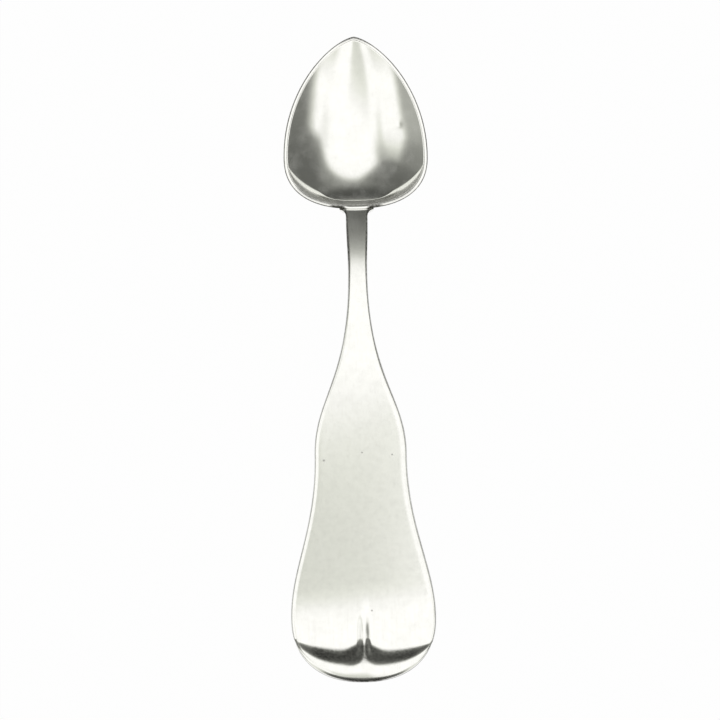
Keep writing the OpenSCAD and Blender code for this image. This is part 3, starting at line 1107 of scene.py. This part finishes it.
@dataclass
class SolderSeam:
    """The solder between the bowl's heel and the tongue, with a small bead round the tongue.

    A pair of numbers says where a painted shade starts and where it is full.
    """

    handle: HandleForm
    clearance: float = mm(0.03)
    bead: float = mm(0.35)
    bead_steps: int = 5
    bead_from_rim: float = mm(1.5)
    half_columns: int = 20
    rows: int = 24
    # Painted shade: dark spots at both ends of the seam's visible line, in the corners beside the stem.
    end_shade: float = 0.95
    end_across: tuple = (mm(2.9), mm(3.8))
    rim_depth: tuple = (mm(-1.5), mm(-0.5))

    def columns(self) -> np.ndarray:
        """Shares of the half width, from edge to edge."""
        return np.linspace(-1, 1, 2 * self.half_columns + 1)

    def stations(self) -> np.ndarray:
        """Rows from the tongue's end to the bowl's rim."""
        return np.linspace(-self.handle.drop_length, 0, self.rows + 1)

    def skin(self, gap: float) -> bpy.types.Object:
        """Presses one skin of the seam.

        Args:
            gap: How far it is from the bowl.

        Returns:
            The skin.
        """
        columns, rows = self.columns(), self.stations()
        grid, column, row = Bench.grid(len(columns) - 1, len(rows) - 1)
        x, d = self.handle.blank(columns[column], rows[row], np.zeros(len(column)))
        Bench.press(grid, self.handle.bowl.seat(d, x, np.full(len(x), gap)))
        Bench.store_mask(grid, PAINTED_SHADE, self.painted_shade(x, d))
        return grid

    def painted_shade(self, x: np.ndarray, d: np.ndarray) -> np.ndarray:
        """Painted shade: dark spots at both ends of the solder line that shows at the rim, in the corners
        beside the stem.
        """
        return self.end_shade * ramp(np.abs(x), *self.end_across) * ramp(d, *self.rim_depth)

    def edge(self) -> bpy.types.Object:
        """Presses the bead: a hollow curve from the bowl up to the tongue's edge.

        Returns:
            The bead.
        """
        s, station = Bench.border(self.columns(), self.stations())
        last = self.bead_steps + 2
        band, walk, step = Bench.grid(len(s) - 1, last)
        share = smooth(-station[walk] / self.bead_from_rim)
        angle = np.pi / 2 * (step - 1) / self.bead_steps
        first, final = step == 0, step == last
        outset = np.where(first | final, 0, self.bead * (1 - np.sin(angle)))
        top = self.handle.solder_gap - self.clearance
        curve = mix(self.clearance, top + self.bead, 1 - np.cos(angle))
        rise = np.where(first, self.clearance, np.where(final, top, curve))
        slope = mix(self.clearance, top, np.clip(angle * 2 / np.pi, 0, 1))
        plain = np.where(first, self.clearance, slope)
        x, d = self.handle.blank(s[walk], station[walk], -outset * share)
        Bench.press(band, self.handle.bowl.seat(d, x, mix(plain, rise, share)))
        Bench.store_mask(band, PAINTED_SHADE, self.painted_shade(x, d))
        return band

    def build(self) -> bpy.types.Object:
        """The seam, welded from its two skins and its bead."""
        top = self.handle.solder_gap - self.clearance
        return Bench.weld("joint_solder", [self.skin(self.clearance), self.skin(top), self.edge()])


Number = Union["Value", float]


class Value:
    """A shader value: a socket, with Python's operators for shader maths."""

    def __init__(self, nodes: "NodeSheet", socket: bpy.types.NodeSocket) -> None:
        """Wraps a socket of a node sheet."""
        self.nodes = nodes
        self.socket = socket

    def __add__(self, other: Number) -> "Value":
        """The sum."""
        return self.nodes.maths("ADD", self, other)

    __radd__ = __add__

    def __sub__(self, other: Number) -> "Value":
        """The difference."""
        return self.nodes.maths("SUBTRACT", self, other)

    def __rsub__(self, other: Number) -> "Value":
        """The difference from a number."""
        return self.nodes.maths("SUBTRACT", other, self)

    def __mul__(self, other: Number) -> "Value":
        """The product."""
        return self.nodes.maths("MULTIPLY", self, other)

    __rmul__ = __mul__

    def __pow__(self, other: Number) -> "Value":
        """The power."""
        return self.nodes.maths("POWER", self, other)

    def __abs__(self) -> "Value":
        """The size without the sign."""
        return self.nodes.maths("ABSOLUTE", self, 0)

    def step(self, start: float, end: float) -> "Value":
        """An eased step from 0 at start to 1 at end."""
        return self.nodes.node("ShaderNodeMapRange", {"interpolation_type": "SMOOTHSTEP"},
                               {"Value": self, "From Min": start, "From Max": end})


class NodeSheet:
    """A node tree that is written as expressions."""

    def __init__(self, tree: bpy.types.NodeTree) -> None:
        """Starts an empty sheet in a tree."""
        self.tree = tree
        tree.nodes.clear()

    def node(self, kind: str, settings: dict, inputs: dict, output: Union[str, int] = 0) -> Value:
        """Adds any node.

        Args:
            kind: The node's type.
            settings: Its properties, which are set first.
            inputs: Values or links of its sockets, by name or place.
            output: The socket that the value is taken from.

        Returns:
            That socket's value.
        """
        node = self.tree.nodes.new(kind)
        for name, setting in settings.items():
            setattr(node, name, setting)
        for name, given in inputs.items():
            if isinstance(given, Value):
                self.tree.links.new(given.socket, node.inputs[name])
            else:
                node.inputs[name].default_value = given
        return Value(self, node.outputs[output]) if node.outputs else None

    def maths(self, operation: str, first: Number, second: Number) -> Value:
        """A Math node for two numbers."""
        return self.node("ShaderNodeMath", {"operation": operation}, {0: first, 1: second})

    def blend(self, factor: Number, first: Union[Value, tuple], second: Union[Value, tuple]) -> Value:
        """A colour between two others."""
        return self.node("ShaderNodeMix", {"data_type": "RGBA"}, {"Factor": factor, 6: first, 7: second}, 2)

    def level(self, factor: Number, first: Number, second: Number) -> Value:
        """A number between two others."""
        return self.node("ShaderNodeMix", {}, {"Factor": factor, 2: first, 3: second}, 0)

    def noise(self, place: Value, scale: float, detail: float) -> Value:
        """A noise texture's value."""
        return self.node("ShaderNodeTexNoise", {}, {"Vector": place, "Scale": scale, "Detail": detail})

    def axes(self, vector: Value) -> tuple:
        """Splits a vector.

        Args:
            vector: The vector.

        Returns:
            Its three parts.
        """
        split = self.node("ShaderNodeSeparateXYZ", {}, {0: vector}, 0)
        node = split.socket.node
        return tuple(Value(self, node.outputs[i]) for i in range(3))


@dataclass(frozen=True)
class SilverFinish:
    """Polished silver, softened by wear: fine scratches, soft waves, a cloudy veil and a few pits, with
    painted shade wherever a piece's vertices carry it.
    """

    name: str
    tone: tuple = (0.94, 0.935, 0.905, 1)
    # Dark tone for real wear and pits, and for the painted shade alike.
    wear_and_shade_tone: tuple = (0.045, 0.044, 0.036, 1)
    darkest: float = 0.97
    roughness: float = 0.15
    wear: float = 0.05
    matte: float = 0.35
    scratch_scale: tuple = (2200, 60, 2200)
    scratch_range: tuple = (0.5, 0.72)
    scratch_depth: float = mm(0.0012)
    scratch_share: float = 0.02
    mottle_scale: float = 420
    mottle_range: tuple = (0.35, 0.75)
    mottle_share: float = 0.03
    haze_scale: float = 90
    haze_range: tuple = (0.25, 0.75)
    haze_share: float = 0.4
    grain_scale: float = 1600
    grain_range: tuple = (0.3, 0.7)
    grain_share: float = 0.4
    shade_share: float = 0.5
    shade_roughness: float = 0.1
    wave_scale: float = 55
    wave_depth: float = mm(0.03)
    veil: float = 0
    veil_scale: float = 170
    veil_range: tuple = (0.42, 0.7)
    pits: tuple = ()
    pit_share: float = 0.4
    pit_roughness: float = 0.3

    def material(self) -> bpy.types.Material:
        """Writes the finish as nodes.

        Returns:
            The material.
        """
        material = bpy.data.materials.new(self.name)
        material.use_nodes = True
        nodes = NodeSheet(material.node_tree)
        place = nodes.node("ShaderNodeTexCoord", {}, {}, "Object")
        # Painted shade and matte, read from each piece's vertices.
        painted_shade, matte = (nodes.node("ShaderNodeAttribute", {"attribute_name": name}, {}, "Fac")
                          for name in (PAINTED_SHADE, MATTE))
        scratches = self.scratches(nodes, place)
        haze = nodes.noise(place, self.haze_scale, 3)
        patches = haze.step(*self.haze_range) * self.haze_share
        grains = nodes.noise(place, self.grain_scale, 3).step(*self.grain_range) * self.grain_share
        # Painted shade from the vertex attribute, broken up by patches and grains.
        shade_darkening = painted_shade * (patches + grains + self.shade_share)
        pit = self.spots(nodes, place)
        mottle = nodes.noise(place, self.mottle_scale, 4).step(*self.mottle_range)
        dull = mottle * self.mottle_share + scratches.step(*self.scratch_range) * self.scratch_share
        dark = nodes.maths("MINIMUM", dull + shade_darkening + pit * self.pit_share, self.darkest)
        rough = self.roughness + (haze - 0.5) * self.wear + scratches * self.wear
        rough = rough + shade_darkening * self.shade_roughness + pit * self.pit_roughness + matte * self.matte
        bare = 1.0
        if self.veil:
            bare = 1 - nodes.noise(place, self.veil_scale, 4).step(*self.veil_range) * self.veil
        soft = nodes.node("ShaderNodeBump", {}, {
            "Strength": 1, "Distance": self.wave_depth, "Height": nodes.noise(place, self.wave_scale, 3)})
        fine = nodes.node("ShaderNodeBump", {}, {
            "Strength": 1, "Distance": self.scratch_depth, "Height": scratches, "Normal": soft})
        shader = nodes.node("ShaderNodeBsdfPrincipled", {}, {
            "Base Color": nodes.blend(dark, self.tone, self.wear_and_shade_tone), "Metallic": bare,
            "Roughness": rough, "Normal": fine})
        nodes.node("ShaderNodeOutputMaterial", {}, {"Surface": shader})
        return material

    def scratches(self, nodes: NodeSheet, place: Value) -> Value:
        """Fine lines along the spoon."""
        stretched = nodes.node("ShaderNodeMapping", {}, {"Vector": place, "Scale": self.scratch_scale})
        return nodes.noise(stretched, 1, 4)

    def spots(self, nodes: NodeSheet, place: Value) -> Value:
        """Masks the pits.

        Args:
            nodes: The material's node sheet.
            place: The place on the piece.

        Returns:
            1 in each pit, and 0 elsewhere.
        """
        x, y, _ = nodes.axes(place)
        mask = x * 0
        for pit in self.pits:
            distance = ((x - pit.x) ** 2 + (y - pit.y) ** 2) ** 0.5
            mask = mask + distance.step(pit.radius, pit.radius / 2)
        return mask


@dataclass(frozen=True)
class Seam:
    """A faint grey line across the ceiling of light, at a place across and with two ends along."""

    across: float
    along: tuple
    strength: float


@dataclass(frozen=True)
class Studio:
    """The plain table, the soft light all round, and the camera straight above.

    The light depends on its direction alone, as x to the right, y to the bowl's end and z up. A pair of
    numbers says where one of its panels starts and where it is full, as parts of that direction.
    """

    overhead: float = 1.12
    stripe_level: float = 0.7
    stripe_middle: float = 0.08
    stripe_slant: float = 0.35
    stripe_across: tuple = (0.27, 0.17)
    stripe_along: tuple = (0.15, 0.75)
    tip_level: float = 0.85
    tip_across: tuple = (0.4, 0.52)
    tip_along: tuple = (0.5, 0.62)
    seam_level: float = 0.5
    seam_width: tuple = (0.08, 0.02)
    seams: tuple = (Seam(-0.5, (-0.5, 0), 0.45), Seam(0.6, (-0.4, -0.2), 0.25))
    left_level: float = 0.42
    left_across: tuple = (0.3, 0.45)
    left_along: tuple = (-0.1, 0.4)
    left_end_level: float = 0.24
    left_end_across: tuple = (0.83, 0.93)
    left_end_along: tuple = (-0.1, 0.15)
    left_end_slants: tuple = (0.6, -0.15)
    right_level: float = 0.19
    right_across: tuple = (0.75, 0.92)
    right_slant: float = 0.08
    near_level: float = 0.09
    near_height: tuple = (math.sin(math.radians(38)), math.sin(math.radians(31)))
    near_along: tuple = (0, 0.2)
    near_across: tuple = (0.6, 0.4)
    far_level: float = 0.3
    far_edge: tuple = (-0.06, 0.06)
    far_from: float = 0.75
    far_right_level: float = 0.17
    far_right_across: tuple = (0.65, 0.85)
    far_right_curve: tuple = (1.6, 0)
    far_right_line: tuple = (0.585, 0.34)
    far_left_level: float = 0.17
    far_left_across: tuple = (0.05, 0.3)
    far_left_curve: tuple = (0.8, 0.53)
    far_left_line: tuple = (0.2, 0.29)
    far_end_level: float = 0.13
    far_end_along: tuple = (0.03, 0.3)
    top_level: float = 0.07
    top_along: tuple = (0.78, 0.92)
    horizon_level: float = 0.9
    horizon_height: tuple = (math.sin(math.radians(15)), math.sin(math.radians(8)))
    horizon_along: tuple = (0.15, 0.4)
    shade_tint: tuple = (0.98, 1, 0.92, 1)
    light_tint: tuple = (1, 1, 0.985, 1)
    tint_range: tuple = (0.8, 1.05)
    floor_size: float = 8
    floor_drop: float = mm(0.05)
    floor_tone: tuple = (0.9, 0.9, 0.9, 1)
    background_share: float = 0.97
    image_pixels: int = 720
    spoon_pixels: float = 647.5
    distance: float = 1.5
    far_clip: float = 100
    rim_height: float = mm(10)
    aim_x: float = mm(0.26)
    aim_y: float = mm(-0.08)
    turn: float = math.radians(-1.0)

    def light(self) -> None:
        """A pale dome with grey walls on the far side, on the near one and to both sides."""
        world = bpy.data.worlds.new("studio_light")
        bpy.context.scene.world = world
        world.use_nodes = True
        nodes = NodeSheet(world.node_tree)
        way = nodes.axes(nodes.node("ShaderNodeTexCoord", {}, {}, "Generated"))
        level = self.ceiling(nodes, way)
        level = self.side_walls(nodes, way, level)
        level = self.end_walls(nodes, way, level)
        tint = nodes.blend(level.step(*self.tint_range), self.shade_tint, self.light_tint)
        background = nodes.node("ShaderNodeBackground", {}, {"Color": tint, "Strength": level})
        nodes.node("ShaderNodeOutputWorld", {}, {"Surface": background})

    def ceiling(self, nodes: NodeSheet, way: tuple) -> Value:
        """The pale dome, with a grey stripe towards the handle's end and two faint seams.

        Args:
            nodes: The world's node sheet.
            way: The three parts of the direction.

        Returns:
            The level of the light.
        """
        x, y, _ = way
        along = (0 - y - x * self.stripe_slant).step(*self.stripe_along)
        stripe = abs(x + self.stripe_middle).step(*self.stripe_across) * along
        level = nodes.level(stripe, self.overhead, self.stripe_level)
        tip = abs(x).step(*self.tip_across) * (0 - y).step(*self.tip_along)
        level = nodes.level(tip, level, self.tip_level)
        first, second = (abs(x - seam.across).step(*self.seam_width) * y.step(*seam.along) * seam.strength
                         for seam in self.seams)
        return nodes.level(first + second, level, self.seam_level)

    def side_walls(self, nodes: NodeSheet, way: tuple, level: Value) -> Value:
        """Adds the grey walls to the left and to the right.

        Args:
            nodes: The world's node sheet.
            way: The three parts of the direction.
            level: The level of the light without them.

        Returns:
            The level of the light with them.
        """
        x, y, _ = way
        left, right = nodes.maths("MAXIMUM", 0 - x, 0), nodes.maths("MAXIMUM", x, 0)
        wall = left.step(*self.left_across) * y.step(*self.left_along)
        level = nodes.level(wall, level, self.left_level)
        far, near = self.left_end_slants
        slanted = left + nodes.maths("MAXIMUM", y * far, y * near)
        end = nodes.level(y.step(*self.left_end_along), self.left_level, self.left_end_level)
        level = nodes.level(slanted.step(*self.left_end_across), level, end)
        wall = (right - y * self.right_slant).step(*self.right_across)
        return nodes.level(wall, level, self.right_level)

    def end_walls(self, nodes: NodeSheet, way: tuple, level: Value) -> Value:
        """Adds the low dark wall on the near side, the curved one on the far side and its pale foot.

        Args:
            nodes: The world's node sheet.
            way: The three parts of the direction.
            level: The level of the light without them.

        Returns:
            The level of the light with them.
        """
        x, y, z = way
        left, right = nodes.maths("MAXIMUM", 0 - x, 0), nodes.maths("MAXIMUM", x, 0)
        near = z.step(*self.near_height) * (0 - y).step(*self.near_along) * abs(x).step(*self.near_across)
        level = nodes.level(near, level, self.near_level)
        beyond = y - self.far_from + self.bend(nodes, right, self.far_right_curve, self.far_right_line)
        beyond = beyond + self.bend(nodes, left, self.far_left_curve, self.far_left_line)
        far = nodes.level(left.step(*self.far_left_across), self.far_level, self.far_left_level)
        far = nodes.level(right.step(*self.far_right_across), far, self.far_right_level)
        far = nodes.level(beyond.step(*self.far_end_along), far, self.far_end_level)
        far = nodes.level(y.step(*self.top_along), far, self.top_level)
        level = nodes.level(beyond.step(*self.far_edge), level, far)
        foot = z.step(*self.horizon_height) * y.step(*self.horizon_along)
        return nodes.level(foot, level, self.horizon_level)

    @staticmethod
    def bend(nodes: NodeSheet, side: Value, curve: tuple, line: tuple) -> Value:
        """How far the far wall draws in to one side: first by a curve, then by a line."""
        return nodes.maths("MINIMUM", side * (side * curve[0] + curve[1]), side * line[0] + line[1])

    def floor(self) -> None:
        """A plain pale table that keeps the spoon's shadow."""
        Bench.clear()
        bpy.ops.mesh.primitive_plane_add(size=self.floor_size, location=(0, 0, -self.floor_drop))
        table = bpy.context.active_object
        table.name = "table"
        material = bpy.data.materials.new("pale_table")
        material.use_nodes = True
        nodes = NodeSheet(material.node_tree)
        plain = nodes.node("ShaderNodeBsdfDiffuse", {}, {"Color": self.floor_tone})
        white = nodes.node("ShaderNodeEmission", {}, {"Color": (1, 1, 1, 1), "Strength": 1})
        path = nodes.node("ShaderNodeLightPath", {}, {}, "Is Camera Ray").socket.node
        seen = [Value(nodes, path.outputs[name])
                for name in ("Is Camera Ray", "Is Glossy Ray", "Is Transmission Ray")]
        shown = nodes.maths("MINIMUM", seen[0] + seen[1] + seen[2], 1) * self.background_share
        both = nodes.node("ShaderNodeMixShader", {}, {0: shown, 1: plain, 2: white})
        nodes.node("ShaderNodeOutputMaterial", {}, {"Surface": both})
        table.data.materials.append(material)

    def camera(self) -> None:
        """A long lens straight above, which frames the spoon as the photograph does."""
        low, high = CAD_BOX
        view = (high[1] - low[1]) * self.image_pixels / self.spoon_pixels
        bpy.ops.object.camera_add(
            location=(self.aim_x, self.aim_y, self.rim_height + self.distance), rotation=(0, 0, self.turn))
        camera = bpy.context.active_object
        camera.data.lens = camera.data.sensor_width * self.distance / view
        camera.data.clip_end = self.far_clip
        bpy.context.scene.camera = camera

    def set_up(self) -> None:
        """The whole studio."""
        self.light()
        self.floor()
        self.camera()
        bpy.context.scene.view_settings.view_transform = "Standard"


def main() -> None:
    """Builds the spoon's pieces in order, then the studio."""
    logging.basicConfig(level=logging.INFO, format="%(name)s: %(message)s")
    bowl_form = BowlForm.from_node("bowl")
    handle_form = HandleForm.from_node("handle", bowl_form)
    pits = (Mark(mm(-11.98), mm(-32.31), mm(0.5)), Mark(mm(0.39), mm(-29.93), mm(0.4)),
            Mark(mm(10.1), mm(-30.75), mm(0.4)), Mark(mm(2.72), mm(-81.86), mm(0.4)))
    silver = SilverFinish("polished_silver", roughness=0.09, wear=0.09, wave_depth=mm(0.06), veil=0.14)
    worn = SilverFinish("worn_silver", scratch_share=0.04, mottle_share=0.05, veil=0.08, pits=pits)
    solder = SilverFinish("solder_grey", tone=(0.74, 0.73, 0.68, 1), roughness=0.3)
    Bench.hand_over(Bowl(bowl_form).build(), "bowl", "silver", silver.material())
    Bench.hand_over(Handle(handle_form).build(), "handle", "silver", worn.material())
    Bench.hand_over(SolderSeam(handle_form).build(), "solder_seam", "solder", solder.material())
    Studio().set_up()


if __name__ == "__main__":
    main()
